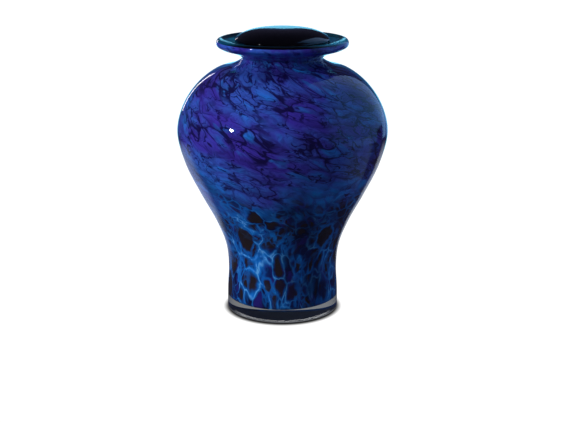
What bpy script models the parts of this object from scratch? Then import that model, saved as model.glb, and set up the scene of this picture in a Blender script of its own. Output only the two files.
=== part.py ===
"""Hand-blown glass urn: a hollow baluster vessel with a saucer lip, and a domed lid that rests in the saucer.

Metres, +Z up. The origin is the centre of the flat underside of the foot.
"""

import math

import bpy
import numpy as np

# Driving dimensions
BELLY_RADIUS = 0.1005
BELLY_HEIGHT = 0.178
FOOT_RADIUS = 0.0543
FOOT_EDGE = 0.002
CAVITY_FLOOR = 0.021
CAVITY_CORNER_HEIGHT = 0.040

# The outer side from the foot up to the lip, as (radius, height)
OUTER_STATIONS = (
    (FOOT_RADIUS, FOOT_EDGE),
    (0.0540, 0.020),
    (0.0529, 0.043),
    (0.0555, 0.066),
    (0.0647, 0.090),
    (0.0795, 0.118),
    (0.0936, 0.148),
    (BELLY_RADIUS, BELLY_HEIGHT),
    (0.0941, 0.203),
    (0.0802, 0.223),
    (0.0629, 0.236),
    (0.0485, 0.2403),
    (0.0384, 0.2467),
    (0.0425, 0.2506),
    (0.0575, 0.2557),
)

# The rim of the saucer lip is an upright ellipse
RIM_CENTRE_RADIUS = 0.0588
RIM_CENTRE_HEIGHT = 0.2609
RIM_HALF_WIDTH = 0.0035
RIM_HALF_HEIGHT = 0.0041
RIM_FIRST_ANGLE = math.radians(118)
RIM_LAST_ANGLE = math.radians(-55)

# Wall thickness, as (height on the outer side, thickness)
WALL_STATIONS = (
    (0.040, 0.0080),
    (0.100, 0.0070),
    (0.178, 0.0060),
    (0.236, 0.0062),
    (0.247, 0.0066),
    (0.256, 0.0076),
)

# The lid: a dome that falls off with the fourth power of the radius, a rounded edge, a seat and a plug
LID_RADIUS = 0.045
LID_EDGE_HEIGHT = 0.2639
LID_DOME_HEIGHT = 0.0107
LID_DOME_POWER = 4
LID_DOME_END = 0.0443
LID_EDGE_STATIONS = (
    (0.0450, 0.2632),
    (0.0448, 0.2616),
    (0.0436, 0.2600),
)
SEAT_GAP = 0.0003
SEAT_OUTER_RADIUS = 0.0415
SEAT_INNER_RADIUS = 0.0345
PLUG_RADIUS = 0.0298
PLUG_TOP = 0.2505
PLUG_BOTTOM = 0.2405
PLUG_CORNER = 0.0025

# Resolution
TURN_STEPS = 56
FINE_STEPS = 24
POINTS_TO_BELLY = 12
POINTS_TO_LIP = 15
POINTS_TO_THROAT = 17
POINTS_TO_SAUCER = 8
FLOOR_STEPS = 5
RIM_STEPS = 8
FOOT_STEPS = 3
DOME_STEPS = 7
EDGE_POINTS = 6
CORNER_STEPS = 2
BEND_SHARE = 0.45
MERGE_DISTANCE = 0.00001


def smooth_curve(stations, steps):
    """Points on a centripetal Catmull-Rom curve that passes through every station, steps to a span."""
    known = np.array(stations, dtype=float)
    ends = (2 * known[0] - known[1], 2 * known[-1] - known[-2])
    known = np.vstack([ends[0], known, ends[1]])
    chords = np.linalg.norm(np.diff(known, axis=0), axis=1)
    knots = np.concatenate([[0.0], np.cumsum(np.sqrt(chords))])
    points = []
    for span in range(1, len(known) - 2):
        p0, p1, p2, p3 = known[span - 1:span + 3]
        t0, t1, t2, t3 = knots[span - 1:span + 3]
        t = np.linspace(t1, t2, steps, endpoint=False)[:, None]
        a1 = ((t1 - t) * p0 + (t - t0) * p1) / (t1 - t0)
        a2 = ((t2 - t) * p1 + (t - t1) * p2) / (t2 - t1)
        a3 = ((t3 - t) * p2 + (t - t2) * p3) / (t3 - t2)
        b1 = ((t2 - t) * a1 + (t - t0) * a2) / (t2 - t0)
        b2 = ((t3 - t) * a2 + (t - t1) * a3) / (t3 - t1)
        points.append(((t2 - t) * b1 + (t - t1) * b2) / (t2 - t1))
    points.append(known[-2:-1])
    return np.vstack(points)


def spaced(curve, count):
    """The curve with this many points, set closer together where it bends."""
    runs = np.diff(curve, axis=0)
    lengths = np.linalg.norm(runs, axis=1)
    directions = np.unwrap(np.arctan2(runs[:, 1], runs[:, 0]))
    bends = np.abs(np.gradient(directions))
    effort = (1 - BEND_SHARE) * lengths / lengths.sum() + BEND_SHARE * bends / bends.sum()
    travelled = np.concatenate([[0.0], np.cumsum(effort)])
    wanted = np.linspace(0.0, travelled[-1], count)
    return np.column_stack([np.interp(wanted, travelled, column) for column in curve.T])


def spaced_about(curve, turning_point, count_before, count_after):
    """The curve spaced out in two stretches, so that the point where they meet is kept."""
    before = spaced(curve[:turning_point + 1], count_before)
    after = spaced(curve[turning_point:], count_after)
    return np.vstack([before[:-1], after])


def arc(centre, half_width, half_height, first, last, steps):
    """Points on an ellipse from the first angle to the last, measured from the outward radius."""
    angles = np.linspace(first, last, steps + 1)
    across = centre[0] + half_width * np.cos(angles)
    up = centre[1] + half_height * np.sin(angles)
    return np.column_stack([across, up])


def moved_inward(curve, distance):
    """The curve moved to its left by a distance, which may differ from point to point."""
    along = np.gradient(curve, axis=0)
    along /= np.linalg.norm(along, axis=1)[:, None]
    left = np.column_stack([-along[:, 1], along[:, 0]])
    return curve + left * np.broadcast_to(distance, len(curve))[:, None]


def outer_wall():
    """The outer side, from the foot's edge to the underside of the lip."""
    outer = smooth_curve(OUTER_STATIONS, FINE_STEPS)
    return spaced_about(outer, np.argmax(outer[:, 0]), POINTS_TO_BELLY, POINTS_TO_LIP)


def inner_wall():
    """The wall's inner side, from the cavity's corner up to the top of the saucer."""
    outer = smooth_curve(OUTER_STATIONS, FINE_STEPS)
    heights, thicknesses = zip(*WALL_STATIONS)
    inner = moved_inward(outer, np.interp(outer[:, 1], heights, thicknesses))
    inner = inner[outer[:, 1] > CAVITY_CORNER_HEIGHT]
    throat = np.argmin(np.where(inner[:, 1] > BELLY_HEIGHT, inner[:, 0], BELLY_RADIUS))
    return spaced_about(inner, throat, POINTS_TO_THROAT, POINTS_TO_SAUCER)


def vessel_profile():
    """Up the inside from the middle of the floor, over the rim, and down the outside to the underside."""
    inner = inner_wall()
    corner_height = inner[0, 1]
    floor = arc(
        (0.0, corner_height), inner[0, 0], corner_height - CAVITY_FLOOR,
        -math.pi / 2, 0.0, FLOOR_STEPS,
    )
    rim = arc(
        (RIM_CENTRE_RADIUS, RIM_CENTRE_HEIGHT), RIM_HALF_WIDTH, RIM_HALF_HEIGHT,
        RIM_FIRST_ANGLE, RIM_LAST_ANGLE, RIM_STEPS,
    )
    outer = outer_wall()[::-1]
    foot = arc(
        (FOOT_RADIUS - FOOT_EDGE, FOOT_EDGE), FOOT_EDGE, FOOT_EDGE,
        0.0, -math.pi / 2, FOOT_STEPS,
    )
    return np.vstack([floor[:-1], inner, rim, outer[:-1], foot, [[0.0, 0.0]]])


def lid_profile():
    """From the top of the dome out to the edge, in along the seat, and down round the plug."""
    radii = LID_DOME_END * np.sin(np.linspace(0.0, math.pi / 2, DOME_STEPS + 1))
    fall = (radii / LID_RADIUS) ** LID_DOME_POWER
    dome = np.column_stack([radii, LID_EDGE_HEIGHT + LID_DOME_HEIGHT * (1 - fall)])
    inner = inner_wall()
    radii = moved_inward(inner, SEAT_GAP)[:, 0]
    on_seat = (inner[:, 1] > PLUG_TOP) & (radii > SEAT_INNER_RADIUS) & (radii < SEAT_OUTER_RADIUS)
    seat = moved_inward(inner, SEAT_GAP)[on_seat][::-1]
    edge = smooth_curve((dome[-1],) + LID_EDGE_STATIONS + (seat[0],), FINE_STEPS)
    corner = arc(
        (PLUG_RADIUS - PLUG_CORNER, PLUG_BOTTOM + PLUG_CORNER), PLUG_CORNER, PLUG_CORNER,
        0.0, -math.pi / 2, CORNER_STEPS,
    )
    plug = np.vstack([[[PLUG_RADIUS, PLUG_TOP]], corner, [[0.0, PLUG_BOTTOM]]])
    return np.vstack([dome[:-1], spaced(edge, EDGE_POINTS), seat[1:], plug])


def glass(name, colour, roughness, transmission):
    """A glass material with its colour and its polish."""
    material = bpy.data.materials.new(name)
    material.use_nodes = True
    shader = material.node_tree.nodes["Principled BSDF"]
    shader.inputs["Base Color"].default_value = (*colour, 1.0)
    shader.inputs["Roughness"].default_value = roughness
    shader.inputs["Metallic"].default_value = 0.0
    shader.inputs["IOR"].default_value = 1.5
    shader.inputs["Transmission Weight"].default_value = transmission
    return material


def turned(name, profile, material, collection):
    """One solid of revolution about +Z, from a profile that starts and ends on the axis."""
    mesh = bpy.data.meshes.new(name)
    points = [(radius, 0.0, height) for radius, height in profile]
    edges = [(i, i + 1) for i in range(len(points) - 1)]
    mesh.from_pydata(points, edges, [])
    mesh.materials.append(material)
    piece = bpy.data.objects.new(name, mesh)
    collection.objects.link(piece)
    screw = piece.modifiers.new("turn", "SCREW")
    screw.axis = "Z"
    screw.angle = 2 * math.pi
    screw.steps = TURN_STEPS
    screw.render_steps = TURN_STEPS
    screw.use_smooth_shade = True
    screw.use_merge_vertices = True
    screw.merge_threshold = MERGE_DISTANCE
    return piece


def main():
    for leftover in list(bpy.data.objects):
        bpy.data.objects.remove(leftover)
    collection = bpy.data.collections.new("glass urn")
    bpy.context.scene.collection.children.link(collection)
    blue = glass("mottled blue glass", (0.02, 0.05, 0.35), 0.04, 0.2)
    teal = glass("dark teal glass", (0.004, 0.03, 0.06), 0.04, 0.6)
    turned("urn_vessel", vessel_profile(), blue, collection)
    turned("lid", lid_profile(), teal, collection)


main()
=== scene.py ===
"""Looks of a hand-blown glass urn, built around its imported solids.

The vessel is clear glass with a layer of mottled colour sealed inside its wall. The lid is a domed
piece of dark teal glass. Metres, +Z up; the origin is the centre of the flat underside of the foot.
"""

import logging
import math
from dataclasses import dataclass
from enum import Enum
from functools import reduce

import bpy
import numpy as np
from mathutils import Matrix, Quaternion, Vector


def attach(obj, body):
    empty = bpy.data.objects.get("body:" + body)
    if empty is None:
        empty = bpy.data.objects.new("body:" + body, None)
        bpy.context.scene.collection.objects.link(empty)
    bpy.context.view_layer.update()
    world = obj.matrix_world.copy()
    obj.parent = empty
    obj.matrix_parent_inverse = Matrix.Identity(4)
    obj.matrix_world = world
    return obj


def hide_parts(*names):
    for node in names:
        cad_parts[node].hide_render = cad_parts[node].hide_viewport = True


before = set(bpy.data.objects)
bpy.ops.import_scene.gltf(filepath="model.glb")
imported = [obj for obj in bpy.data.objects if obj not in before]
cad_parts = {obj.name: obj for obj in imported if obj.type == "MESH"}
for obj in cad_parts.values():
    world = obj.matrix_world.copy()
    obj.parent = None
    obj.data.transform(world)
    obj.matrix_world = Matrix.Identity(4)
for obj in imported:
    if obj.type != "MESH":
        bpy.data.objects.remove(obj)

LOG = logging.getLogger("glass_urn")
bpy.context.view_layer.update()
BODY = "root"
TINY = 1e-9
RIPPLE_STRENGTH = 0.35
WHITE = (1.0, 1.0, 1.0, 1.0)

Pair = tuple[float, float]
Triple = tuple[float, float, float]
Colour = tuple[float, float, float, float]
Stations = tuple[Pair, ...]
Socket = bpy.types.NodeSocket


class Slot(Enum):
    """The record's material slots."""

    MOTTLED = "mottled_blue_glass"
    TEAL = "dark_teal_glass"
    CLEAR = "clear_glass"


# Curves: rows of (radius, height)


def smooth_curve(stations: Stations, steps: int) -> np.ndarray:
    """A smooth curve through every station: between two of them, three levels of weighted means of the
    four nearest ones, with knots a square root of a chord apart.

    Args:
        stations: the (radius, height) points that the curve passes through.
        steps: points to a span.

    Returns:
        The curve's points, one row each.
    """
    known = np.array(stations, dtype=float)
    known = np.vstack([2 * known[0] - known[1], known, 2 * known[-1] - known[-2]])
    chords = np.linalg.norm(np.diff(known, axis=0), axis=1)
    knots = np.concatenate([[0.0], np.cumsum(np.sqrt(chords))])
    points = []
    for span in range(1, len(known) - 2):
        p0, p1, p2, p3 = known[span - 1:span + 3]
        t0, t1, t2, t3 = knots[span - 1:span + 3]
        t = np.linspace(t1, t2, steps, endpoint=False)[:, None]
        a1 = ((t1 - t) * p0 + (t - t0) * p1) / (t1 - t0)
        a2 = ((t2 - t) * p1 + (t - t1) * p2) / (t2 - t1)
        a3 = ((t3 - t) * p2 + (t - t2) * p3) / (t3 - t2)
        b1 = ((t2 - t) * a1 + (t - t0) * a2) / (t2 - t0)
        b2 = ((t3 - t) * a2 + (t - t1) * a3) / (t3 - t1)
        points.append(((t2 - t) * b1 + (t - t1) * b2) / (t2 - t1))
    points.append(known[-2:-1])
    return np.vstack(points)


def spaced(curve: np.ndarray, count: int, bend_share: float = 0.4) -> np.ndarray:
    """The curve with points set by a mean of its length and its bend, so closer together where it bends.

    Args:
        curve: the points of a fine curve.
        count: how many points to keep.
        bend_share: the share of the spacing that the bend sets.

    Returns:
        The spaced points.
    """
    runs = np.diff(curve, axis=0)
    lengths = np.linalg.norm(runs, axis=1)
    directions = np.unwrap(np.arctan2(runs[:, 1], runs[:, 0]))
    bends = np.abs(np.gradient(directions)) + TINY
    effort = (1 - bend_share) * lengths / lengths.sum() + bend_share * bends / bends.sum()
    travelled = np.concatenate([[0.0], np.cumsum(effort)])
    wanted = np.linspace(0.0, travelled[-1], count)
    return np.column_stack([np.interp(wanted, travelled, column) for column in curve.T])


def arc(centre: Pair, halves: Pair, first: float, last: float, steps: int) -> np.ndarray:
    """Points on an ellipse: centre plus (half width x cosine, half height x sine) of the angle.

    Args:
        centre: the ellipse's (radius, height).
        halves: its half width and half height.
        first: the first angle in degrees, from the outward radius.
        last: the last angle in degrees.
        steps: spans between the two.

    Returns:
        The points, steps + 1 rows.
    """
    angles = np.radians(np.linspace(first, last, steps + 1))
    return np.column_stack([centre[0] + halves[0] * np.cos(angles), centre[1] + halves[1] * np.sin(angles)])


def moved_left(curve: np.ndarray, distance: float | np.ndarray) -> np.ndarray:
    """The curve moved at right angles to its travel, to the left: inward, on an outer side that runs up.

    Args:
        curve: the points of a fine curve.
        distance: how far, the same all along or one value for each point.

    Returns:
        The moved points.
    """
    along = np.gradient(curve, axis=0)
    along /= np.linalg.norm(along, axis=1)[:, None]
    left = np.column_stack([-along[:, 1], along[:, 0]])
    return curve + left * np.broadcast_to(distance, len(curve))[:, None]


def disc(radius: float, height: float, outward: bool, steps: int) -> np.ndarray:
    """A flat run between the axis and a radius: radius x the sine of even steps to a right angle, so
    that the points lie closer together towards the edge.

    Args:
        radius: the disc's edge.
        height: its height.
        outward: True from the axis out, False from the edge in.
        steps: spans on the way.

    Returns:
        The points, with the axis but without the edge.
    """
    share = np.sin(np.linspace(0.0, math.pi / 2, steps + 1))[:-1]
    points = np.column_stack([radius * share, np.full(steps, height)])
    return points if outward else points[::-1]


def read_off(stations: Stations, places: np.ndarray) -> np.ndarray:
    """The value at each place, on straight lines between stations of (place, value)."""
    return np.interp(places, *zip(*stations))


# Meshes


@dataclass(frozen=True)
class Turned:
    """A surface of revolution: point(i, angle) = (radius_i cos angle, radius_i sin angle, height_i).

    The profile runs up the inside and down the outside, so that the faces point out of the glass. It
    either starts and ends on the axis, or is a closed loop that meets itself.
    """

    profile: np.ndarray
    steps: int = 192

    def closes_on_axis(self) -> bool:
        """True if the profile starts on the axis."""
        return bool(self.profile[0, 0] < TINY)

    def rings(self) -> np.ndarray:
        """The profile's points that are carried round the axis."""
        return self.profile[1:-1] if self.closes_on_axis() else self.profile

    def angles(self) -> np.ndarray:
        """The angle of each meridian, in radians."""
        return np.linspace(-math.pi, math.pi, self.steps, endpoint=False)

    def points(self) -> np.ndarray:
        """The grid of radius_i and height_i against the meridians' angles, worked out in one go.

        Returns:
            The rings' points, ring by ring, and then the two poles if there are any.
        """
        rings, angles = self.rings(), self.angles()
        grid = np.empty((len(rings), self.steps, 3))
        grid[..., 0] = rings[:, :1] * np.cos(angles)
        grid[..., 1] = rings[:, :1] * np.sin(angles)
        grid[..., 2] = rings[:, 1:]
        points = grid.reshape(-1, 3)
        if self.closes_on_axis():
            poles = np.zeros((2, 3))
            poles[:, 2] = self.profile[[0, -1], 1]
            points = np.vstack([points, poles])
        return points

    def faces(self) -> list[list[int]]:
        """Four-sided faces between neighbouring rings, and a fan of triangles to each pole.

        Returns:
            The faces as lists of point numbers, turned so that they face out of the glass.
        """
        count = len(self.rings())
        around = np.arange(self.steps)
        onward = (around + 1) % self.steps
        near = np.arange(count - 1 if self.closes_on_axis() else count)[:, None]
        far = (near + 1) % count
        quads = np.stack([
            near * self.steps + around, far * self.steps + around,
            far * self.steps + onward, near * self.steps + onward,
        ], axis=-1).reshape(-1, 4).tolist()
        if not self.closes_on_axis():
            return quads
        first, last = count * self.steps, count * self.steps + 1
        end = (count - 1) * self.steps
        start_fan = np.column_stack([np.full(self.steps, first), around, onward]).tolist()
        end_fan = np.column_stack([end + around, np.full(self.steps, last), end + onward]).tolist()
        return quads + start_fan + end_fan

    def build(self, name: str) -> bpy.types.Object:
        """Makes the mesh and its object.

        Args:
            name: the piece's name.

        Returns:
            The object, at the origin and shaded smooth.
        """
        mesh = bpy.data.meshes.new(name)
        mesh.from_pydata(self.points().tolist(), [], self.faces())
        mesh.polygons.foreach_set("use_smooth", np.ones(len(mesh.polygons), dtype=bool))
        mesh.update()
        piece = bpy.data.objects.new(name, mesh)
        bpy.context.scene.collection.objects.link(piece)
        return piece


def set_attribute(piece: bpy.types.Object, name: str, values: np.ndarray) -> None:
    """Stores one number or one vector for each point of a piece.

    Args:
        piece: the piece.
        name: the attribute's name.
        values: one row for each point.
    """
    vector = values.ndim == 2
    attribute = piece.data.attributes.new(name, "FLOAT_VECTOR" if vector else "FLOAT", "POINT")
    attribute.data.foreach_set("vector" if vector else "value", values.astype(np.float32).ravel())


# Finishes


def shade(red: int, green: int, blue: int) -> Colour:
    """A linear colour from what a screen shows it with: part / 12.92 near black, and above that
    (part + 0.055) / 1.055 to the power of 2.4.

    Args:
        red: the screen's red, 0 to 255.
        green: its green.
        blue: its blue.

    Returns:
        The colour, opaque.
    """
    parts = (np.array([red, green, blue]) / 255.0).tolist()
    linear = [p / 12.92 if p <= 0.04045 else ((p + 0.055) / 1.055) ** 2.4 for p in parts]
    return (*linear, 1.0)


class Bench:
    """Short ways to add and join the shader nodes of one material, lamp or world."""

    def __init__(self, tree: bpy.types.NodeTree) -> None:
        """Empties the tree."""
        self.tree = tree
        tree.nodes.clear()

    def add(self, kind: str, inputs: dict | None = None, **settings: object) -> bpy.types.Node:
        """Adds a node.

        Args:
            kind: the node's class without its ShaderNode prefix.
            inputs: sockets or plain values by input name or number.
            **settings: the node's own properties.

        Returns:
            The node.
        """
        node = self.tree.nodes.new("ShaderNode" + kind)
        for key, value in settings.items():
            setattr(node, key, value)
        for key, value in (inputs or {}).items():
            self.feed(node.inputs[key], value)
        return node

    def feed(self, target: Socket, value: object) -> None:
        """Joins a socket to an input, or sets the input's plain value.

        Args:
            target: the input.
            value: a socket, a number or a row of numbers.
        """
        if isinstance(value, bpy.types.NodeSocket):
            self.tree.links.new(value, target)
        else:
            target.default_value = value

    def finish(self, surface: Socket, volume: Socket | None = None, kind: str = "OutputMaterial") -> None:
        """Joins the shaders to the output.

        Args:
            surface: the surface's shader.
            volume: the shader of what lies under the surface.
            kind: the output node's class without its prefix.
        """
        output = self.add(kind, {"Surface": surface})
        if volume is not None:
            self.feed(output.inputs["Volume"], volume)

    def math(self, operation: str, a: object, b: object = 0.0, clamp: bool = False) -> Socket:
        """One arithmetic step on two numbers."""
        return self.add("Math", {0: a, 1: b}, operation=operation, use_clamp=clamp).outputs[0]

    def plus(self, a: object, b: object) -> Socket:
        """The sum of two numbers."""
        return self.math("ADD", a, b)

    def minus(self, a: object, b: object) -> Socket:
        """What is left of a number after another is taken off."""
        return self.math("SUBTRACT", a, b)

    def times(self, *factors: object) -> Socket:
        """The product of one or more numbers."""
        return reduce(lambda product, factor: self.math("MULTIPLY", product, factor), factors)

    def vector(self, operation: str, a: object, b: object) -> Socket:
        """One arithmetic step on two vectors."""
        return self.add("VectorMath", {0: a, 1: b}, operation=operation).outputs[0]

    def scaled(self, a: object, factor: object) -> Socket:
        """A vector times a number."""
        return self.add("VectorMath", {0: a, "Scale": factor}, operation="SCALE").outputs[0]

    def stretch(self, a: object, factors: Triple) -> Socket:
        """A vector with each part times its own factor."""
        return self.vector("MULTIPLY", a, factors)

    def length(self, a: object) -> Socket:
        """The length of a vector."""
        return self.add("VectorMath", {0: a}, operation="LENGTH").outputs["Value"]

    def parts(self, a: object) -> bpy.types.NodeOutputs:
        """The three numbers of a vector."""
        return self.add("SeparateXYZ", {0: a}).outputs

    def ramp(self, value: object, low: float, high: float, start: float = 0.0, end: float = 1.0) -> Socket:
        """A smooth step: start below low, end above high."""
        inputs = {"Value": value, "From Min": low, "From Max": high, "To Min": start, "To Max": end}
        return self.add("MapRange", inputs, interpolation_type="SMOOTHSTEP").outputs[0]

    def fall(self, value: object, low: float, high: float, start: float = 1.0) -> Socket:
        """A smooth step down to nothing: start below low, 0 above high."""
        return self.ramp(value, low, high, start, 0.0)

    def between(self, value: Socket, first: float, last: float, soft: float) -> Socket:
        """1 between two values and 0 outside them, with soft ends."""
        return self.times(self.ramp(value, first - soft, first + soft),
                          self.fall(value, last - soft, last + soft))

    def mix(self, share: object, a: object, b: object) -> Socket:
        """A colour that is a where share is 0 and b where it is 1."""
        return self.add("Mix", {0: share, 6: a, 7: b}, data_type="RGBA").outputs[2]

    def blend(self, share: object, a: object, b: object) -> Socket:
        """A number that is a where share is 0 and b where it is 1."""
        return self.add("Mix", {0: share, 2: a, 3: b}, data_type="FLOAT").outputs[0]

    def place(self) -> Socket:
        """The place on the piece, in its own coordinates."""
        return self.add("TexCoord").outputs["Object"]

    def attribute(self, name: str, output: str = "Fac") -> Socket:
        """What set_attribute stored on the piece under a name."""
        return self.add("Attribute", attribute_name=name).outputs[output]

    def bearing(self, place: Socket) -> Socket:
        """The bearing of a place in degrees: 0 behind the urn, 90 on its right, -90 on its left."""
        across, deep, _ = self.parts(place)
        return self.times(self.math("ARCTAN2", across, deep), 180.0 / math.pi)

    def moved(self, place: Socket, by: float) -> Socket:
        """A place moved far off, so that the noise there is another."""
        return self.vector("ADD", place, (by, by * 0.7, by * 1.3))

    def noise(self, at: object, scale: float, detail: float = 2.0, roughness: float = 0.5,
              colour: bool = False) -> Socket:
        """Soft noise, as a number or as a colour of three independent numbers."""
        inputs = {"Vector": at, "Scale": scale, "Detail": detail, "Roughness": roughness}
        return self.add("TexNoise", inputs).outputs[1 if colour else 0]

    def pushed(self, place: Socket, rounds: Stations) -> Socket:
        """A place pushed about by noise: in each round, place + reach x (noise - a half).

        Args:
            place: the place.
            rounds: each round's noise scale and its reach in metres.

        Returns:
            The new place.
        """
        for scale, reach in rounds:
            drift = self.vector("SUBTRACT", self.noise(place, scale, 2.0, 0.5, True), (0.5, 0.5, 0.5))
            place = self.vector("ADD", place, self.scaled(drift, reach))
        return place

    def cells(self, at: object, scale: float, feature: str = "F1") -> bpy.types.Node:
        """A pattern of cells, with so many to a metre."""
        return self.add("TexVoronoi", {"Vector": at, "Scale": scale, "Randomness": 1.0}, feature=feature)

    def tones(self, cell: bpy.types.Node) -> bpy.types.NodeOutputs:
        """Three random numbers that each cell has for its own."""
        return self.add("SeparateColor", {0: cell.outputs["Color"]}).outputs

    def border(self, place: Socket, scale: float) -> tuple[Socket, bpy.types.Node]:
        """Rounded cells: how much further the second nearest centre is than the nearest.

        Args:
            place: the place in the pattern.
            scale: cells to a metre.

        Returns:
            The difference, 0 on the border between two cells, and the node of the nearest centre.
        """
        nearest = self.cells(place, scale)
        second = self.cells(place, scale, "F2").outputs["Distance"]
        return self.minus(second, nearest.outputs["Distance"]), nearest

    def ripple(self, place: Socket, scale: float, depth: float) -> Socket:
        """The faint waviness of free-blown glass, as a normal."""
        inputs = {"Height": self.noise(place, scale, 1.0), "Distance": depth, "Strength": RIPPLE_STRENGTH}
        return self.add("Bump", inputs).outputs[0]


def new_material(name: str) -> tuple[bpy.types.Material, Bench]:
    """Makes an empty node material.

    Args:
        name: the material's name.

    Returns:
        The material and its bench.
    """
    material = bpy.data.materials.new(name)
    material.use_nodes = True
    return material, Bench(material.node_tree)


@dataclass(frozen=True)
class ClearGlass:
    """Clear casing glass, with the faint waviness of free-blown work drawn out upright."""

    ior: float = 1.5
    ripple_scale: float = 22.0
    ripple_stretch: Triple = (1.0, 1.0, 0.6)
    ripple_depth: float = 0.0002

    def material(self) -> bpy.types.Material:
        """Builds the material: a polished surface that lets all light through.

        Returns:
            The material.
        """
        material, bench = new_material("clear casing glass")
        place = bench.stretch(bench.place(), self.ripple_stretch)
        shader = bench.add("BsdfPrincipled", {
            "Base Color": WHITE, "Roughness": 0.0, "IOR": self.ior, "Transmission Weight": 1.0,
            "Normal": bench.ripple(place, self.ripple_scale, self.ripple_depth),
        })
        bench.finish(shader.outputs[0])
        return material


@dataclass(frozen=True)
class TintedGlass:
    """Glass that darkens with depth: each colour falls off by e to the power of -absorption x path."""

    name: str
    absorption: Triple
    ior: float
    ripple_depth: float = 0.0
    ripple_scale: float = 30.0

    def material(self) -> bpy.types.Material:
        """Builds the material. The volume's density x (1 - its colour) is the absorption.

        Returns:
            The material.
        """
        material, bench = new_material(self.name)
        shader = bench.add("BsdfPrincipled", {
            "Base Color": WHITE, "Roughness": 0.0, "IOR": self.ior, "Transmission Weight": 1.0,
        })
        if self.ripple_depth:
            ripple = bench.ripple(bench.place(), self.ripple_scale, self.ripple_depth)
            bench.feed(shader.inputs["Normal"], ripple)
        density = max(self.absorption)
        colour = (*[1 - part / density for part in self.absorption], 1.0)
        volume = bench.add("VolumeAbsorption", {"Color": colour, "Density": density})
        bench.finish(shader.outputs[0], volume.outputs[0])
        return material


@dataclass(frozen=True)
class Hooks:
    """A set of dark hooked lines: where its noise lies, its scale, their width, and how rare they are."""

    offset: float
    scale: float
    width: float
    rarity: float


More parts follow.
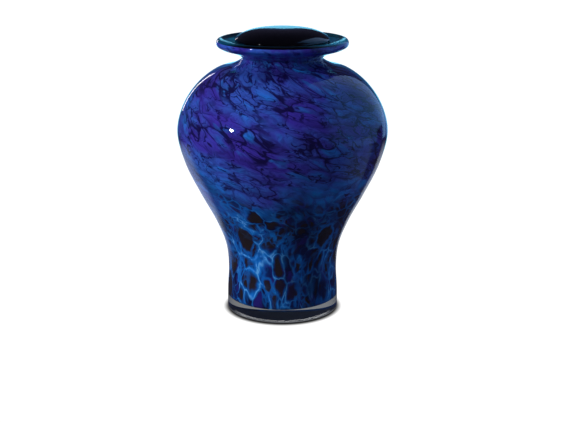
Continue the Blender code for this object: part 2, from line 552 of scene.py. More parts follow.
@dataclass(frozen=True)
class MottledColour:
    """The colour layer: chips of glass melted, pulled and twisted into cells.

    High on the body, slanting lens-shaped cells of cobalt and violet with dark outlines and azure
    hearts. Low on the body, azure wisps, pale threads and dark ovals, all drawn out upright. Under the
    lip, smooth level streaks. The layer's bottom is grey and its inner side is dark. In the saucer that
    side has a painted glow: bright teal, strongest at the left and right ends, that stands in for light
    shining through the lip's teal glass. A scale is cells or waves to a metre. A band is the pair of
    heights between which one look gives way to the next, and wander is how far noise moves the bands.
    """

    cobalt: Colour = shade(56, 94, 196)
    violet: Colour = shade(62, 50, 166)
    azure: Colour = shade(26, 132, 228)
    sea: Colour = shade(20, 100, 190)
    pale: Colour = shade(112, 192, 246)
    navy: Colour = shade(16, 34, 92)
    deep: Colour = shade(12, 20, 58)
    plum: Colour = shade(42, 34, 122)
    outline: Colour = shade(18, 12, 64)
    smoke: Colour = shade(40, 32, 32)
    lining: Colour = shade(6, 16, 28)
    # Painted glow: this bright teal on the saucer's inner side stands in for light shining through the lip's
    # glass.
    teal: Colour = shade(24, 184, 222)
    underside: Colour = shade(76, 84, 104)
    roughness: float = 0.6
    pushes: Stations = ((26.0, 0.022), (85.0, 0.013), (210.0, 0.0026))
    soft_pushes: Stations = ((26.0, 0.020), (62.0, 0.012), (150.0, 0.0028))
    wander: float = 0.085
    upper_band: Pair = (0.108, 0.132)
    mist_band: Pair = (0.132, 0.156)
    small_cell_band: Pair = (0.078, 0.098)
    lip_band: Pair = (0.2485, 0.2530)
    cell_scale: float = 70.0
    fine_cell_scale: float = 150.0
    low_cell_scale: float = 54.0
    low_small_cell_scale: float = 88.0
    lace_scale: float = 120.0
    oval_scale: float = 33.0
    hooks: tuple[Hooks, ...] = (Hooks(7.3, 46.0, 0.022, 0.44), Hooks(5.9, 74.0, 0.030, 0.50))

    def material(self) -> bpy.types.Material:
        """Builds the material: the lower look, then the upper one, dark clouds, the lip, the grey
        bottom and the inner side, each laid over the last by its mask.

        Returns:
            The material.
        """
        material, bench = new_material("mottled colour layer")
        swirl = bench.attribute("swirl", "Vector")
        height = bench.attribute("rise")
        warped = bench.pushed(swirl, self.pushes)
        wander = bench.times(bench.minus(bench.noise(swirl, 26.0), 0.5), self.wander)
        level = bench.plus(height, wander)
        cover = bench.ramp(bench.noise(bench.moved(swirl, 8.3), 13.0, 3.0, 0.6), 0.37, 0.52)
        mist = bench.times(bench.fall(level, *self.mist_band), cover)
        upper = self.upper(bench, warped, swirl, mist)
        lower = self.lower(bench, warped, swirl, level)
        colour = bench.mix(bench.ramp(level, *self.upper_band), lower, upper)
        clouds = bench.noise(bench.moved(swirl, 3.1), 11.0)
        colour = bench.mix(bench.ramp(clouds, 0.54, 0.70, 0.0, 0.75), colour, self.outline)
        colour = bench.mix(bench.ramp(height, *self.lip_band), colour, self.lip(bench, swirl))
        colour = bench.mix(bench.attribute("under"), colour, self.underside)
        # Painted glow: in the saucer the inner side turns bright teal, most at its left and right ends, in
        # place of light shining through the lip's glass; elsewhere it keeps its dark lining.
        inside = bench.mix(bench.attribute("saucer"), self.lining, self.teal)
        colour = bench.mix(bench.attribute("lined"), colour, inside)
        shader = bench.add("BsdfPrincipled", {
            "Base Color": colour, "Roughness": self.roughness, "Specular IOR Level": 0.0,
        })
        bench.finish(shader.outputs[0])
        return material

    def upper(self, bench: Bench, warped: Socket, swirl: Socket, mist: Socket) -> Socket:
        """The slanting lens-shaped cells high on the body: a streaky ground, azure hearts and mist,
        darker undersides of the cells, and outlines of uneven width round large and small cells.

        Args:
            bench: the material's bench.
            warped: the pattern's place, pushed about by noise.
            swirl: the pattern's place.
            mist: how far the cells have turned to azure.

        Returns:
            The colour.
        """
        broad = bench.noise(bench.moved(swirl, 0.4), 20.0, 3.0, 0.6)
        ground = bench.mix(bench.ramp(broad, 0.42, 0.64), self.violet, self.cobalt)
        flat = bench.stretch(bench.moved(warped, 2.3), (1.0, 1.0, 2.6))
        streaks = bench.noise(flat, 120.0, 4.0, 0.65)
        ground = bench.mix(bench.ramp(streaks, 0.46, 0.66, 0.0, 0.65), ground, self.plum)
        gap, cell = bench.border(warped, self.cell_scale)
        heart = bench.fall(cell.outputs["Distance"], 0.0, 0.60)
        lit = bench.times(heart, bench.ramp(bench.tones(cell)[0], 0.4, 1.0, 0.05, 0.8))
        patches = bench.noise(bench.moved(warped, 0.9), 44.0, 3.0, 0.6)
        lit = bench.math("ADD", lit, bench.ramp(patches, 0.55, 0.70, 0.0, 0.50), clamp=True)
        misty = bench.times(mist, bench.ramp(gap, 0.0, 0.5, 0.5, 0.9))
        ground = bench.mix(bench.math("MAXIMUM", lit, misty), ground, self.azure)
        rise = bench.minus(bench.parts(warped)[2], bench.parts(cell.outputs["Position"])[2])
        low_side = bench.fall(bench.times(rise, self.cell_scale), -0.55, 0.15, 0.36)
        ground = bench.mix(low_side, ground, self.outline)
        width = bench.noise(bench.moved(swirl, 1.4), 46.0, 3.0, 0.6)
        wide = bench.ramp(width, 0.34, 0.66, 0.05, 0.21)
        fine_gap, _ = bench.border(bench.moved(warped, 3.7), self.fine_cell_scale)
        lines = bench.math("MAXIMUM",
                           bench.fall(bench.math("DIVIDE", gap, wide), 0.3, 1.1, 0.95),
                           bench.fall(bench.math("DIVIDE", fine_gap, wide), 0.1, 0.9, 0.35))
        shown = bench.ramp(bench.noise(bench.moved(swirl, 6.6), 30.0), 0.38, 0.58, 0.25, 1.0)
        shown = bench.times(shown, bench.ramp(mist, 0.1, 0.9, 1.0, 0.25))
        ground = bench.mix(bench.times(lines, shown), ground, self.outline)
        return self.hooked(bench, warped, swirl, mist, ground)

    def hooked(self, bench: Bench, warped: Socket, swirl: Socket, mist: Socket, ground: Socket) -> Socket:
        """The ground with dark hooks, which run where a noise is a half and show in patches.

        Args:
            bench: the material's bench.
            warped: the pattern's place, pushed about by noise.
            swirl: the pattern's place.
            mist: how far the cells have turned to azure, where hooks are faint.
            ground: the colour under the hooks.

        Returns:
            The colour.
        """
        for kind in self.hooks:
            flat = bench.stretch(bench.moved(warped, kind.offset), (1.0, 1.0, 1.5))
            from_line = bench.math("ABSOLUTE", bench.minus(bench.noise(flat, kind.scale), 0.5))
            patches = bench.noise(bench.moved(swirl, kind.offset - 2.4), 44.0)
            shown = bench.ramp(patches, kind.rarity, kind.rarity + 0.08)
            shown = bench.times(shown, bench.ramp(mist, 0.1, 0.9, 0.95, 0.3))
            line = bench.fall(from_line, 0.004, kind.width)
            ground = bench.mix(bench.times(line, shown), ground, self.outline)
        return ground

    def lower(self, bench: Bench, warped: Socket, swirl: Socket, level: Socket) -> Socket:
        """The wisps, threads and dark ovals low on the body: a dark ground with plum stains, azure
        flames and smoky cells, azure and pale threads along the cells' borders, fine lace, and ovals.

        Args:
            bench: the material's bench.
            warped: the pattern's place, pushed about by noise.
            swirl: the pattern's place.
            level: the height, pushed about by noise.

        Returns:
            The colour.
        """
        soft = bench.pushed(swirl, self.soft_pushes)
        gap, cell = bench.border(bench.moved(soft, 3.7), self.low_cell_scale)
        small_gap, _ = bench.border(bench.moved(soft, 6.2), self.low_small_cell_scale)
        gap = bench.blend(bench.ramp(level, *self.small_cell_band), gap, small_gap)
        tone = bench.tones(cell)
        ground = bench.mix(bench.ramp(tone[0], 0.3, 0.7), self.deep, self.navy)
        stains = bench.noise(bench.moved(warped, 4.4), 58.0, 3.0, 0.6)
        ground = bench.mix(bench.ramp(stains, 0.50, 0.66, 0.0, 0.8), ground, self.plum)
        tall = bench.stretch(warped, (1.0, 1.0, 0.45))
        wisps = bench.noise(bench.moved(tall, 5.2), 70.0, 4.0, 0.6)
        where = bench.noise(bench.moved(swirl, 7.7), 34.0, 2.0, 0.6)
        flames = bench.times(bench.ramp(wisps, 0.47, 0.66, 0.0, 0.9), bench.ramp(where, 0.44, 0.58))
        ground = bench.mix(flames, ground, bench.mix(bench.ramp(wisps, 0.54, 0.66), self.sea, self.azure))
        dark = bench.ramp(tone[1], 0.40, 0.48, 0.0, 0.95)
        ground = bench.mix(bench.times(dark, bench.ramp(gap, 0.12, 0.34)), ground, self.smoke)
        width = bench.noise(bench.moved(swirl, 1.4), 38.0)
        wide = bench.plus(bench.ramp(width, 0.36, 0.66, 0.05, 0.40), bench.ramp(level, 0.08, 0.11, 0.0, 0.12))
        off = bench.math("DIVIDE", gap, wide)
        spread = bench.noise(bench.moved(swirl, 5.5), 18.0)
        halo = bench.times(bench.fall(off, 0.0, 1.0), bench.ramp(spread, 0.42, 0.56, 0.15, 1.0))
        ground = bench.mix(halo, ground, self.sea)
        strong = bench.times(bench.ramp(width, 0.40, 0.60), bench.ramp(spread, 0.38, 0.56, 0.2, 1.0))
        ground = bench.mix(bench.times(bench.fall(off, 0.0, 0.55, 0.9), strong), ground, self.azure)
        grain = bench.noise(bench.moved(soft, 2.9), 95.0)
        core = bench.times(bench.fall(gap, 0.0, 0.085, 0.9), bench.ramp(grain, 0.40, 0.60, 0.2, 1.0))
        ground = bench.mix(bench.times(core, strong), ground, self.pale)
        fine_gap, _ = bench.border(bench.moved(soft, 1.2), self.lace_scale)
        lace = bench.times(bench.fall(fine_gap, 0.0, 0.30, 0.7), bench.ramp(where, 0.46, 0.58))
        ground = bench.mix(lace, ground, self.sea)
        return self.ovals(bench, soft, width, ground)

    def ovals(self, bench: Bench, soft: Socket, width: Socket, ground: Socket) -> Socket:
        """The ground with smoky ovals in a blue ring, one round the centre of each larger cell.

        Args:
            bench: the material's bench.
            soft: the pattern's place, pushed about by soft noise.
            width: the noise that makes threads wide, and rings strong.
            ground: the colour under the ovals.

        Returns:
            The colour.
        """
        oval = bench.cells(bench.stretch(bench.moved(soft, 9.1), (1.0, 1.0, 0.8)), self.oval_scale)
        size = bench.tones(oval)[0]
        shown = bench.ramp(size, 0.36, 0.42)
        rim = bench.minus(oval.outputs["Distance"], bench.ramp(size, 0.25, 1.0, 0.0, 0.46))
        edge = bench.math("ABSOLUTE", bench.minus(rim, 0.03))
        ring = bench.times(bench.fall(edge, 0.0, 0.08, 0.95), shown)
        ground = bench.mix(bench.times(ring, bench.ramp(width, 0.36, 0.55, 0.3, 1.0)), ground, self.sea)
        inside = bench.times(bench.fall(rim, -0.05, 0.01, 0.95), shown)
        return bench.mix(inside, ground, self.smoke)

    def lip(self, bench: Bench, swirl: Socket) -> Socket:
        """The smooth level streaks under the lip.

        Args:
            bench: the material's bench.
            swirl: the pattern's place.

        Returns:
            The colour.
        """
        level = bench.stretch(bench.moved(swirl, 1.9), (1.0, 1.0, 5.0))
        broad = bench.noise(level, 42.0, 3.0, 0.6)
        ground = bench.mix(bench.ramp(broad, 0.35, 0.65), self.violet, self.cobalt)
        streaks = bench.noise(bench.moved(level, 2.7), 64.0, 3.0, 0.6)
        return bench.mix(bench.ramp(streaks, 0.50, 0.68, 0.0, 0.7), ground, self.outline)


# The urn


@dataclass(frozen=True)
class Vessel:
    """The vessel: clear casing, the colour layer sealed inside its wall, and the teal of its lip.

    The sides and the walls are the CAD model's. The inset keeps the belly inside its box. Stations are
    pairs of (radius, height), or of a place and the value there.
    """

    belly_radius: float = 0.1005
    inset: float = 2e-6
    foot_radius: float = 0.0543
    foot_edge: float = 0.002
    cavity_floor: float = 0.021
    cavity_corner: float = 0.040
    rim_centre: Pair = (0.0588, 0.2609)
    rim_halves: Pair = (0.0035, 0.0041)
    rim_angles: Pair = (118.0, -55.0)
    outer_stations: Stations = (
        (0.0543, 0.002), (0.0540, 0.020), (0.0529, 0.043), (0.0555, 0.066), (0.0647, 0.090),
        (0.0795, 0.118), (0.0936, 0.148), (0.1005, 0.178), (0.0941, 0.203), (0.0802, 0.223),
        (0.0629, 0.236), (0.0485, 0.2403), (0.0384, 0.2467), (0.0425, 0.2506), (0.0575, 0.2557),
    )
    wall_stations: Stations = (
        (0.040, 0.0080), (0.100, 0.0070), (0.178, 0.0060), (0.236, 0.0062), (0.247, 0.0066),
        (0.256, 0.0076),
    )
    colour_depths: Stations = ((0.0, 0.0020), (0.2560, 0.0020), (0.2620, 0.0013))
    colour_thicknesses: Stations = ((0.0, 0.0014), (0.2500, 0.0014), (0.2620, 0.0005))
    colour_floor: float = 0.0120
    colour_corner: Pair = (0.0055, 0.0030)
    colour_rim_angles: tuple[float, ...] = (-55.0, -30.0, -5.0, 20.0)
    tint_centre: Pair = (0.0552, 0.2594)
    tint_halves: Pair = (0.0062, 0.0026)
    tint: TintedGlass = TintedGlass("teal of the lip", (300.0, 30.0, 12.0), 1.0)
    pattern_radius: float = 0.075
    slants: Stations = ((0.095, 0.0), (0.150, 1.1), (0.225, 1.1), (0.246, 0.4))
    climbs: Stations = ((0.050, 0.62), (0.110, 0.95), (0.150, 1.5), (0.212, 1.4), (0.234, 0.60),
                        (0.247, 0.45))
    under_grey: Stations = ((0.040, 1.0), (0.047, 0.0))
    # Painted glow: how much bright teal the saucer's inner side takes, by radius, then by how near a point
    # lies to the left or right end, in place of light shining through the lip's glass.
    painted_glow_by_radius: Stations = ((0.043, 0.0), (0.051, 1.0), (0.056, 1.0), (0.0585, 0.2))
    painted_glow_by_side: Stations = ((0.60, 0.15), (0.98, 1.1))
    fine_steps: int = 40
    casing_turns: int = 272
    inner_points: int = 80
    outer_points: int = 190
    outer_bend_share: float = 0.2
    floor_steps: int = 20
    rim_steps: int = 28
    foot_steps: int = 10
    disc_steps: int = 6
    colour_points: int = 130
    colour_corner_steps: tuple[int, int] = (5, 8)
    colour_disc_steps: int = 8
    colour_end_steps: int = 6
    tint_steps: int = 40

    def outer(self) -> np.ndarray:
        """The outer side, from the foot's edge up to the underside of the lip."""
        return smooth_curve(self.outer_stations, self.fine_steps)

    def inner(self) -> np.ndarray:
        """The inner side: the outer one moved inward by the wall's thickness at its height.

        Returns:
            The points, from the cavity's corner up to the top of the saucer.
        """
        outer = self.outer()
        inner = moved_left(outer, read_off(self.wall_stations, outer[:, 1]))
        return inner[outer[:, 1] > self.cavity_corner]

    def casing_profile(self) -> np.ndarray:
        """Up the inside from the middle of the floor, over the rim, and down the outside: arcs of
        ellipses for the floor, the rim and the foot's edge, joined by the two sides of the wall.

        Returns:
            The closed profile of the whole wall.
        """
        inner = spaced(self.inner(), self.inner_points)
        bowl = (inner[0, 0], inner[0, 1] - self.cavity_floor)
        floor = arc((0.0, inner[0, 1]), bowl, -90, 0, self.floor_steps)
        rim = arc(self.rim_centre, self.rim_halves, *self.rim_angles, self.rim_steps)
        outer = spaced(self.outer(), self.outer_points, self.outer_bend_share)[::-1]
        outer[:, 0] = np.minimum(outer[:, 0], self.belly_radius - self.inset)
        edge = self.foot_radius - self.foot_edge
        foot = arc((edge, self.foot_edge), (self.foot_edge, self.foot_edge), 0, -90, self.foot_steps)
        return np.vstack([floor[:-1], inner, rim, outer[:-1], foot, disc(edge, 0.0, False, self.disc_steps)])

    def colour_path(self) -> np.ndarray:
        """The curve that the colour layer follows: the outer side, carried on round the outer half of
        the rim's ellipse.

        Returns:
            The points.
        """
        angles = np.radians(self.colour_rim_angles)
        rim = np.column_stack([
            self.rim_centre[0] + self.rim_halves[0] * np.cos(angles),
            self.rim_centre[1] + self.rim_halves[1] * np.sin(angles),
        ])
        return smooth_curve(self.outer_stations + tuple(map(tuple, rim)), self.fine_steps)

    def colour_profile(self) -> tuple[np.ndarray, np.ndarray]:
        """The colour layer: its path moved inward to two depths, closed by a half round in the rim and
        by two rounded corners and flat discs across the bottom.

        Returns:
            The closed profile, and for each of its points 1 if it is on the inner side and 0 if not.
        """
        path = self.colour_path()
        depth = read_off(self.colour_depths, path[:, 1])
        thick = read_off(self.colour_thicknesses, path[:, 1])
        wide, high = self.colour_corner
        far_steps, near_steps = self.colour_corner_steps
        level, wall = self.colour_floor + high, self.colour_thicknesses[0][1]
        keep = path[:, 1] > level
        near, far = moved_left(path, depth)[keep], moved_left(path, depth + thick)[keep]
        turn_in = (near[0, 0] - wide, level)
        far_corner = arc(turn_in, (far[0, 0] - near[0, 0] + wide, high - wall), -90, 0, far_steps)
        near_corner = arc(turn_in, self.colour_corner, 0, -90, near_steps)
        far_floor = disc(far_corner[0, 0], far_corner[0, 1], True, self.colour_disc_steps)
        near_floor = disc(near_corner[-1, 0], self.colour_floor, False, self.colour_disc_steps)
        heading = near[-1] - near[-2]
        heading /= np.linalg.norm(heading)
        across = (far[-1] - near[-1]) / 2
        turn = np.radians(np.linspace(90, -90, self.colour_end_steps + 1))[1:-1]
        bulge = np.outer(np.cos(turn), heading) * np.linalg.norm(across)
        end = (near[-1] + far[-1]) / 2 + bulge + np.outer(np.sin(turn), across)
        inner = np.vstack([far_floor, far_corner[:-1], spaced(far, self.colour_points)])
        outer = np.vstack([spaced(near, self.colour_points)[::-1], near_corner[1:], near_floor])
        sides = np.concatenate([np.ones(len(inner)), np.linspace(1, 0, len(end)), np.zeros(len(outer))])
        return np.vstack([inner, end, outer]), sides

    def tint_profile(self) -> np.ndarray:
        """The tinted ring in the lip: an ellipse, drawn in towards the neck."""
        return arc(self.tint_centre, self.tint_halves, 180, -180, self.tint_steps)[:-1]

    def place_pattern(self, piece: bpy.types.Object, sides: np.ndarray) -> None:
        """Stores where each point lies in the pattern, and how grey or teal it is.

        The pattern lies on a cylinder of one radius. A step round the vessel and a step up it are both
        scaled by that radius over the vessel's own, so cells keep their shape. High on the body each
        step up also turns the pattern, which slants the cells, and low down steps up count for less,
        which draws the cells out upright. The teal is a painted glow in the saucer, strongest at its
        left and right ends, in place of light shining through the lip's glass.

        Args:
            piece: the colour layer.
            sides: for each point, 0 on the outer side and 1 on the inner.
        """
        path = self.colour_path()
        runs = np.linalg.norm(np.diff(path, axis=0), axis=1)
        middle = (path[1:] + path[:-1]) / 2
        slant = read_off(self.slants, middle[:, 1])
        climb = read_off(self.climbs, middle[:, 1])
        turned = np.concatenate([[0.0], np.cumsum(runs * slant / middle[:, 0])])
        risen = np.concatenate([[0.0], np.cumsum(runs * climb * self.pattern_radius / middle[:, 0])])
        points = np.empty(len(piece.data.vertices) * 3)
        piece.data.vertices.foreach_get("co", points)
        points = points.reshape(-1, 3)
        angle = np.arctan2(points[:, 1], points[:, 0]) + np.interp(points[:, 2], path[:, 1], turned)
        swirl = np.column_stack([
            self.pattern_radius * np.cos(angle), self.pattern_radius * np.sin(angle),
            np.interp(points[:, 2], path[:, 1], risen),
        ])
        radius = np.hypot(points[:, 0], points[:, 1])
        side = np.abs(points[:, 0]) / np.maximum(radius, TINY)
        low = points[:, 2] < self.colour_floor + self.colour_corner[1]
        set_attribute(piece, "swirl", swirl)
        set_attribute(piece, "rise", points[:, 2])
        set_attribute(piece, "lined", sides)
        set_attribute(piece, "under", low * read_off(self.under_grey, radius))
        # Painted glow: the saucer attribute is the share of bright teal, most at the left and right ends,
        # that stands in for light through the lip's glass.
        set_attribute(piece, "saucer", read_off(self.painted_glow_by_radius, radius) * read_off(self.painted_glow_by_side, side))

    def build(self) -> list[bpy.types.Object]:
        """Builds and dresses the vessel's pieces.

        Returns:
            The pieces.
        """
        casing = Turned(self.casing_profile(), self.casing_turns).build("vessel_casing")
        casing.data.materials.append(ClearGlass().material())
        casing.visible_shadow = False
        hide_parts("urn_vessel")
        profile, ring_sides = self.colour_profile()
        turned = Turned(profile)
        colour = turned.build("colour_layer")
        self.place_pattern(colour, np.concatenate([np.repeat(ring_sides[1:-1], turned.steps), [1.0, 0.0]]))
        colour.data.materials.append(MottledColour().material())
        tint = Turned(self.tint_profile()).build("lip_tint")
        tint.data.materials.append(self.tint.material())
        tint.visible_shadow = False
        return [casing, colour, tint]


@dataclass(frozen=True)
class Lid:
    """The lid: a low dome with a rounded edge, a seat that follows the saucer, and a plug."""

    radius: float = 0.0455
    edge_height: float = 0.2645
    dome_height: float = 0.0101
    dome_power: int = 4
    dome_end: float = 0.0430
    edge_stations: Stations = ((0.0441, 0.2656), (0.0447, 0.2648), (0.0450, 0.2636), (0.0448, 0.2618),
                               (0.0436, 0.2600))
    seat_gap: float = 0.0003
    seat_radii: Pair = (0.0345, 0.0415)
    plug_radius: float = 0.0298
    plug_heights: Pair = (0.2405, 0.2505)
    plug_corner: float = 0.0025
    glass: TintedGlass = TintedGlass("dark teal glass", (420.0, 120.0, 95.0), 1.5, 0.0003)
    dome_steps: int = 48
    edge_steps: int = 12
    seat_points: int = 14
    corner_steps: int = 8
    disc_steps: int = 6

    def profile(self, vessel: Vessel) -> np.ndarray:
        """From the top of the dome out to the edge, in along the seat, and down round the plug. The
        dome's height is edge + dome x (1 - (radius / the lid's) to the fourth power), and the seat is
        the saucer's own curve, lifted by the gap.

        Args:
            vessel: the vessel that the lid rests in.

        Returns:
            The closed profile.
        """
        radii = self.dome_end * np.sin(np.linspace(0.0, math.pi / 2, self.dome_steps + 1))
        fall = (radii / self.radius) ** self.dome_power
        dome = np.column_stack([radii, self.edge_height + self.dome_height * (1 - fall)])
        inner = vessel.inner()
        moved = moved_left(inner, self.seat_gap)
        on_seat = (inner[:, 1] > self.plug_heights[1]) & (moved[:, 0] > self.seat_radii[0])
        seat = moved[on_seat & (moved[:, 0] < self.seat_radii[1])][::-1]
        edge = smooth_curve((tuple(dome[-1]),) + self.edge_stations + (tuple(seat[0]),), self.edge_steps)
        corner = arc((self.plug_radius - self.plug_corner, self.plug_heights[0] + self.plug_corner),
                     (self.plug_corner, self.plug_corner), 0, -90, self.corner_steps)
        under = disc(corner[-1, 0], self.plug_heights[0], False, self.disc_steps)
        plug = np.vstack([[[self.plug_radius, self.plug_heights[1]]], corner, under])
        return np.vstack([dome[:-1], edge[:-1], spaced(seat, self.seat_points), plug])

    def build(self, vessel: Vessel) -> list[bpy.types.Object]:
        """Builds and dresses the lid.

        Args:
            vessel: the vessel that the lid rests in.

        Returns:
            The lid's one piece.
        """
        lid = Turned(self.profile(vessel)).build("lid_glass")
        lid.data.materials.append(self.glass.material())
        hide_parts("lid")
        return [lid]


# The studio


class Sees(Enum):
    """What a lamp shows itself to."""

    ALL = "surfaces and reflections"
    SURFACES = "surfaces alone"
    REFLECTIONS = "reflections alone"


@dataclass(frozen=True)
class SoftRim:
    """A round face that is full in its middle and falls to nothing at its rim."""

    full_share: float = 0.25
    rim_share: float = 0.5

    def light(self, bench: Bench, lamp: "Lamp") -> tuple[Colour, Socket]:
        """The strength is a smooth step down, from a quarter of the width to a half, over the distance
        from the lamp's middle, whose upright part is first multiplied by the width over the height.

        Args:
            bench: the lamp's bench.
            lamp: the lamp.

        Returns:
            The colour and the strength.
        """
        width, height = lamp.size
        away = bench.vector("SUBTRACT", bench.add("NewGeometry").outputs["Position"], lamp.place)
        away = bench.stretch(away, (1.0, 1.0, width / height))
        return WHITE, bench.fall(bench.length(away), self.full_share * width, self.rim_share * width)


@dataclass(frozen=True)
class FadedPanel:
    """A wide panel's face, spread by smooth steps over depth y and height z.

    A pair says where a step starts and ends, in metres. The face ends at a far edge that leans in high
    up and close to the floor. It fades out towards its near end, and towards its top, which is higher
    at the far end. Low down it is dimmer short of the far end, and has a dark gap. The far end is
    warmer.
    """

    far_edge: Pair = (0.79, 0.82)
    lean_from: float = 0.9
    lean: float = 0.33
    low_lean_heights: Pair = (0.08, 0.21)
    low_lean: float = 0.16
    near_end: Pair = (-1.3, -0.2)
    top: Pair = (0.60, 1.50)
    top_rise_depths: Pair = (0.0, 0.45)
    top_rise: float = 1.5
    dim_heights: Pair = (0.0, 0.35)
    dim_share: float = 0.5
    dim_end: Pair = (0.42, 0.50)
    gap_start: Pair = (0.28, 0.32)
    gap_end: Pair = (0.475, 0.505)
    gap_heights: Pair = (0.15, 0.19)
    warm_depths: Pair = (0.30, 0.70)
    warmth: Colour = (2.2, 1.25, 1.1, 1.0)

    def light(self, bench: Bench, lamp: "Lamp") -> tuple[Socket, Socket]:
        """The strength is the product of five parts: the far edge, a step down over depth + lean; the
        near end, a step up over depth; the top, a step down over height - rise; the dimmer low part;
        and 1 - the gap, which is itself a product of three steps.

        Args:
            bench: the lamp's bench.
            lamp: the lamp, which this face needn't ask.

        Returns:
            The colour and the strength.
        """
        _, depth, height = bench.parts(bench.add("NewGeometry").outputs["Position"])
        over = bench.math("MAXIMUM", bench.minus(height, self.lean_from), 0.0)
        lean = bench.plus(bench.times(over, self.lean),
                          bench.fall(height, *self.low_lean_heights, self.low_lean))
        rise = bench.ramp(depth, *self.top_rise_depths, 0.0, self.top_rise)
        low = bench.math("MAXIMUM", bench.ramp(height, *self.dim_heights, self.dim_share, 1.0),
                         bench.ramp(depth, *self.dim_end))
        gap = bench.times(bench.ramp(depth, *self.gap_start), bench.fall(depth, *self.gap_end),
                          bench.fall(height, *self.gap_heights))
        strength = bench.times(
            bench.fall(bench.plus(depth, lean), *self.far_edge), bench.ramp(depth, *self.near_end),
            bench.fall(bench.minus(height, rise), *self.top), low, bench.minus(1.0, gap),
        )
        return bench.mix(bench.ramp(depth, *self.warm_depths), WHITE, self.warmth), strength


@dataclass(frozen=True)
class Lamp:
    """An area lamp that faces a point, evenly bright unless it has a face of its own."""

    name: str
    place: Triple
    facing: Triple
    size: Pair
    radiance: float
    tint: Triple = (1.0, 1.0, 1.0)
    sees: Sees = Sees.ALL
    roll: float = 0.0
    face: SoftRim | FadedPanel | None = None

    def build(self) -> bpy.types.Object:
        """Makes the lamp: power = radiance x pi x area.

        Returns:
            The lamp.
        """
        data = bpy.data.lights.new(self.name, "AREA")
        is_round = isinstance(self.face, SoftRim)
        data.shape = "ELLIPSE" if is_round else "RECTANGLE"
        data.size, data.size_y = self.size
        area = self.size[0] * self.size[1] * (math.pi / 4 if is_round else 1.0)
        data.energy = self.radiance * math.pi * area
        data.color = self.tint
        if self.face is not None:
            data.use_nodes = True
            bench = Bench(data.node_tree)
            colour, strength = self.face.light(bench, self)
            glow = bench.add("Emission", {"Color": colour, "Strength": strength})
            bench.finish(glow.outputs[0], kind="OutputLight")
        lamp = bpy.data.objects.new(self.name, data)
        bpy.context.scene.collection.objects.link(lamp)
        lamp.location = self.place
        back = Vector(self.place) - Vector(self.facing)
        turn = Quaternion((0.0, 0.0, 1.0), math.radians(self.roll))
        lamp.rotation_euler = (back.to_track_quat("Z", "Y") @ turn).to_euler()
        lamp.visible_camera = False
        lamp.visible_transmission = False
        lamp.visible_glossy = self.sees is not Sees.SURFACES
        lamp.visible_diffuse = self.sees is not Sees.REFLECTIONS
        return lamp


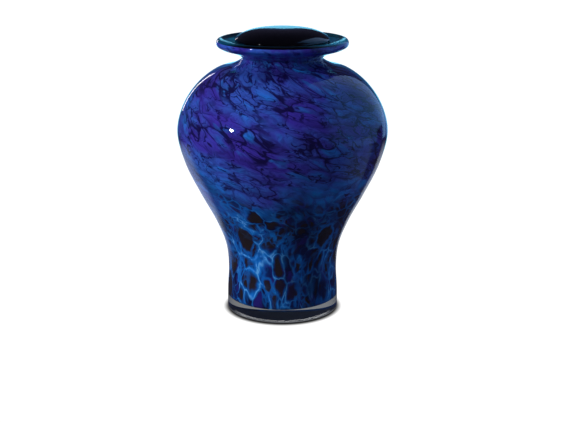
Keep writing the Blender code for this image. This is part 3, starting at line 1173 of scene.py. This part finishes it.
@dataclass(frozen=True)
class Studio:
    """A plain pale floor, plain soft light and the camera.

    A radiance is what a surface sends out, 1 being paper white. What the glass mirrors is set apart
    from what lights the colour layer, as a photographer does with flags and cards.
    """

    floor_size: float = 12.0
    floor_drop: float = 0.0003
    paper: float = 1.08
    # contact_shadow, shadow_shift and shadow_edge set a painted shadow: the floor's own glow falls near the
    # foot, rather than a shadow that the urn casts.
    contact_shadow: float = 0.02
    shadow_shift: float = 0.0018
    shadow_edge: Pair = (0.0528, 0.0600)
    fill: Colour = (0.27, 0.27, 0.29, 1.0)
    floor_fill: float = 0.10
    seen_through: Colour = (0.20, 0.21, 0.22, 1.0)
    dim: Triple = (0.03, 0.03, 0.06)
    back_dusk: Triple = (0.0, 0.08, 0.20)
    right_card: Triple = (0.16, 0.30, 0.60)
    sweep: Triple = (0.42, 0.53, 0.80)
    sweep_right: Triple = (0.41, 0.46, 0.54)
    side_glow: Triple = (0.10, 0.17, 0.27)
    foot_line: Triple = (4.5, 4.6, 4.8)
    lens: float = 75.0
    sensor: float = 36.0
    clip: Pair = (0.05, 60.0)
    camera_place: Triple = (0.0, -1.1062, 0.4129)
    camera_pitch: float = 16.0

    def lamps(self) -> tuple[Lamp, ...]:
        """The lamps: a soft key on the left that lights the colour, and the small bright face that the
        glass mirrors in its place; two blue cards behind the urn, a tall one and a low one, seen in
        reflections alone; a narrow strip behind on the left; and a wide panel on the right.

        Returns:
            The lamps.
        """
        return (
            Lamp("key", (-1.35, -0.72, 0.85), (0.0, 0.0, 0.15), (0.7, 0.7), 13.5, sees=Sees.SURFACES),
            Lamp("key_face", (-1.005, -0.662, 0.614), (-0.045, -0.086, 0.195), (0.138, 0.088), 90.0,
                 sees=Sees.REFLECTIONS, face=SoftRim()),
            Lamp("back_card", (0.0, 0.55, 0.1635), (0.0, -1.0, 0.1635), (0.20, 0.367), 1.25,
                 (0.22, 0.75, 1.0), Sees.REFLECTIONS),
            Lamp("low_card", (0.0, 0.56, 0.095), (0.0, -1.0, 0.095), (0.54, 0.19), 0.95,
                 (0.08, 0.60, 0.85), Sees.REFLECTIONS),
            Lamp("strip", (-0.485, 1.09, 0.33), (-0.08, -0.02, 0.28), (0.035, 0.44), 5.6,
                 (1.0, 0.93, 1.0), roll=18.0),
            Lamp("panel", (0.820, -0.163, 1.16), (-0.107, -0.538, 1.16), (2.21, 2.28), 0.70,
                 (0.16, 0.48, 1.0), face=FadedPanel()),
        )

    def mirrored_only(self, bench: Bench) -> Socket:
        """1 for rays that a shine sends off, and 0 for all others."""
        path = bench.add("LightPath").outputs
        return bench.times(path["Is Glossy Ray"], bench.minus(1.0, path["Is Transmission Ray"]))

    def lighting_only(self, bench: Bench) -> Socket:
        """1 for rays that light the colour layer, and 0 for all others."""
        return bench.ramp(bench.add("LightPath").outputs["Diffuse Depth"], 0.0, 1.0)

    def lights(self, bench: Bench, *patches: tuple[Triple, list[Socket]]) -> Socket:
        """The sum of several radiances, each times its masks, over the dim surroundings.

        Args:
            bench: the bench.
            *patches: a radiance and its masks each.

        Returns:
            The colour.
        """
        total = self.dim
        for radiance, masks in patches:
            total = bench.vector("ADD", bench.scaled(radiance, bench.times(*masks)), total)
        return total

    def build_world(self) -> None:
        """Sets the surroundings: paper white to the camera, grey through the glass, soft fill for the
        colour layer, and dim in reflections but for a dusky blue low behind the urn."""
        scene = bpy.context.scene
        scene.view_settings.view_transform = "Standard"
        world = bpy.data.worlds.new("studio")
        world.use_nodes = True
        scene.world = world
        bench = Bench(world.node_tree)
        place = bench.add("TexCoord").outputs["Generated"]
        low = bench.fall(bench.parts(place)[2], 0.13, 0.19)
        behind = bench.between(bench.bearing(place), -60.0, 45.0, 8.0)
        mirrored = self.lights(bench, (self.back_dusk, [low, behind]))
        seen = bench.mix(self.lighting_only(bench), self.seen_through, self.fill)
        straight = bench.add("LightPath").outputs["Is Camera Ray"]
        seen = bench.mix(straight, seen, (self.paper, self.paper, self.paper, 1.0))
        colour = bench.mix(self.mirrored_only(bench), seen, mirrored)
        shader = bench.add("Background", {"Color": colour, "Strength": 1.0})
        bench.finish(shader.outputs[0], kind="OutputWorld")

    def floor_mirrored(self, bench: Bench, place: Socket) -> Socket:
        """What the floor shows in reflections, by bearing in degrees and by reach from the axis: a
        bluish sweep behind on the left and a greyer one behind on the right, the dusk and a blue card
        far off behind, a glow on the right, and a bright line in front, close to the foot.

        Args:
            bench: the floor's bench.
            place: the place on the floor.

        Returns:
            The colour.
        """
        bearing, reach = bench.bearing(place), bench.length(place)
        far = bench.ramp(reach, 0.70, 0.95)
        ring = [bench.ramp(reach, 0.13, 0.21), bench.fall(reach, 0.42, 0.74)]
        return self.lights(
            bench,
            (self.sweep, [bench.ramp(bearing, -74.0, -54.0), bench.fall(bearing, -25.0, 15.0), *ring,
                          bench.ramp(reach, 0.22, 0.42, 1.05, 0.9)]),
            (self.sweep_right, [bench.ramp(bearing, -25.0, 15.0), bench.fall(bearing, 40.5, 48.5), *ring]),
            (self.back_dusk, [bench.between(bearing, -60.0, 45.0, 8.0), far]),
            (self.right_card, [bench.between(bearing, 20.0, 32.0, 5.0), far]),
            (self.side_glow, [bench.ramp(bearing, 70.0, 75.0), bench.fall(bearing, 98.0, 126.0),
                              bench.ramp(reach, 0.17, 0.28)]),
            (self.foot_line, [bench.between(reach, 0.0575, 0.0620, 0.001),
                              bench.fall(bench.parts(place)[1], -0.045, -0.020)]),
        )

    def build_floor(self) -> bpy.types.Object:
        """Makes the floor: paper white with a soft shadow close round the foot, a faint fill for the
        colour layer, and what floor_mirrored gives in reflections.

        Returns:
            The floor.
        """
        half, drop = self.floor_size / 2, -self.floor_drop
        mesh = bpy.data.meshes.new("floor")
        corners = [(-half, -half, drop), (half, -half, drop), (half, half, drop), (-half, half, drop)]
        mesh.from_pydata(corners, [], [(0, 1, 2, 3)])
        floor = bpy.data.objects.new("floor", mesh)
        bpy.context.scene.collection.objects.link(floor)
        material, bench = new_material("pale floor")
        place = bench.place()
        # Painted shadow: the floor's glow falls from paper white to nearly black towards the foot's edge,
        # reaching a little further in front.
        away = bench.length(bench.vector("ADD", place, (0.0, self.shadow_shift, 0.0)))
        shadow = bench.ramp(away, *self.shadow_edge, self.contact_shadow, self.paper)
        glow = bench.blend(self.lighting_only(bench), shadow, self.floor_fill)
        lit = bench.add("Emission", {"Color": WHITE, "Strength": glow})
        mirror = bench.add("Emission", {"Color": self.floor_mirrored(bench, place), "Strength": 1.0})
        shown = {0: self.mirrored_only(bench), 1: lit.outputs[0], 2: mirror.outputs[0]}
        bench.finish(bench.add("MixShader", shown).outputs[0])
        mesh.materials.append(material)
        return floor

    def build_camera(self) -> bpy.types.Object:
        """Makes the camera, level and looking down at the urn.

        Returns:
            The camera.
        """
        data = bpy.data.cameras.new("camera")
        data.lens = self.lens
        data.sensor_width = self.sensor
        data.clip_start, data.clip_end = self.clip
        camera = bpy.data.objects.new("camera", data)
        bpy.context.scene.collection.objects.link(camera)
        camera.location = self.camera_place
        camera.rotation_euler = (math.radians(90.0 - self.camera_pitch), 0.0, 0.0)
        bpy.context.scene.camera = camera
        return camera

    def build(self) -> None:
        """Builds the whole studio."""
        self.build_camera()
        self.build_world()
        self.build_floor()
        for lamp in self.lamps():
            lamp.build()


def triangles(piece: bpy.types.Object) -> int:
    """Counts the triangles in a piece's mesh: each face has two fewer than it has sides.

    Args:
        piece: the piece.

    Returns:
        How many there are.
    """
    sides = np.empty(len(piece.data.polygons), dtype=np.int32)
    piece.data.polygons.foreach_get("loop_total", sides)
    return int((sides - 2).sum())


def main() -> None:
    """Builds the urn and its studio."""
    logging.basicConfig(level=logging.INFO, format="%(name)s: %(message)s")
    Studio().build()
    vessel = Vessel()
    pieces = vessel.build() + Lid().build(vessel)
    for piece in pieces:
        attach(piece, BODY)
        LOG.info("%s: %d triangles", piece.name, triangles(piece))


if __name__ == "__main__":
    main()
